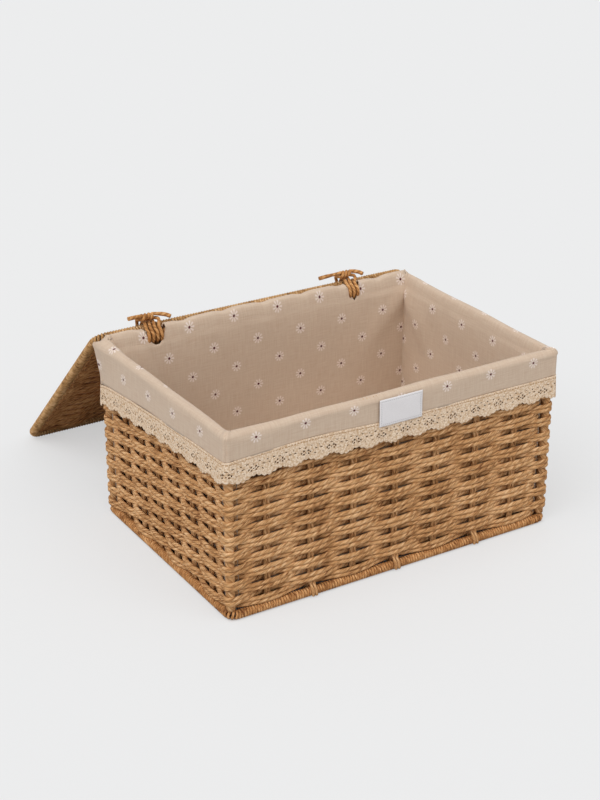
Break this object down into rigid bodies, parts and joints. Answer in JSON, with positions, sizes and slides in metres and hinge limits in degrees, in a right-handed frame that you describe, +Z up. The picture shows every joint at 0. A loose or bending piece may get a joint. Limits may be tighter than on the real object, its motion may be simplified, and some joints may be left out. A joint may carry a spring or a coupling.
{
  "type": "lidded woven storage basket",
  "caption": "Rectangular storage basket woven from paper rope on a wire frame, with a cloth liner folded over the rim as a lace-edged cuff and a woven lid on rope ties.",
  "frame": {"origin": "middle of the basket's base, on the surface that it stands on", "axes": "+X to the right along the basket's long side, +Y to the back, where the lid hangs, and +Z up"},
  "size_m": [0.362, 0.4464, 0.1968],
  "materials": {
    "rope": "matte twisted paper rope",
    "wire": "drawn steel wire",
    "cloth": "matte cotton with printed daisies",
    "lace": "matte crochet lace",
    "label": "satin"
  },
  "bodies": {
    "basket": {"wire_frame": "wire", "bottom_ring_binding": "rope", "top_ring_binding": "rope", "long_stake_1": "rope", "long_stake_2": "rope", "long_stake_3": "rope", "long_stake_4": "rope", "long_stake_5": "rope", "long_stake_6": "rope", "long_stake_7": "rope", "left_stake_1": "rope", "left_stake_2": "rope", "left_stake_3": "rope", "left_stake_4": "rope", "left_stake_5": "rope", "left_stake_6": "rope", "right_stake_1": "rope", "right_stake_2": "rope", "right_stake_3": "rope", "right_stake_4": "rope", "right_stake_5": "rope", "right_stake_6": "rope", "ring_lashing_1": "rope", "ring_lashing_2": "rope", "ring_lashing_3": "rope", "weaver_a": "rope", "weaver_b": "rope", "base_weave": "rope", "liner": "cloth", "lace_trim": "lace", "label": "label"},
    "left_tie": {"left_tie": "rope"},
    "right_tie": {"right_tie": "rope"},
    "lid": {"lid_wire": "wire", "lid_binding": "rope", "lid_stake_1": "rope", "lid_stake_2": "rope", "lid_stake_3": "rope", "lid_stake_4": "rope", "lid_stake_5": "rope", "lid_stake_6": "rope", "lid_stake_7": "rope", "lid_weave": "rope"}
  },
  "joints": [
    {"name": "left_tie_swing", "type": "hinge", "parent": "basket", "child": "left_tie", "pos_m": [0, 0.11795, 0.17795], "axis": [1, 0, 0], "range_deg": [0, 44.76]},
    {"name": "right_tie_swing", "type": "hinge", "parent": "basket", "child": "right_tie", "pos_m": [0, 0.11795, 0.17795], "axis": [1, 0, 0], "range_deg": [0, 44.76]},
    {"name": "lid_hinge", "type": "hinge", "parent": "left_tie", "child": "lid", "pos_m": [0, 0.1318, 0.17999], "axis": [1, 0, 0], "range_deg": [0, 179.06]}
  ],
  "couplings": [
    {"joint": "right_tie_swing", "follows": "left_tie_swing", "ratio": 1}
  ]
}
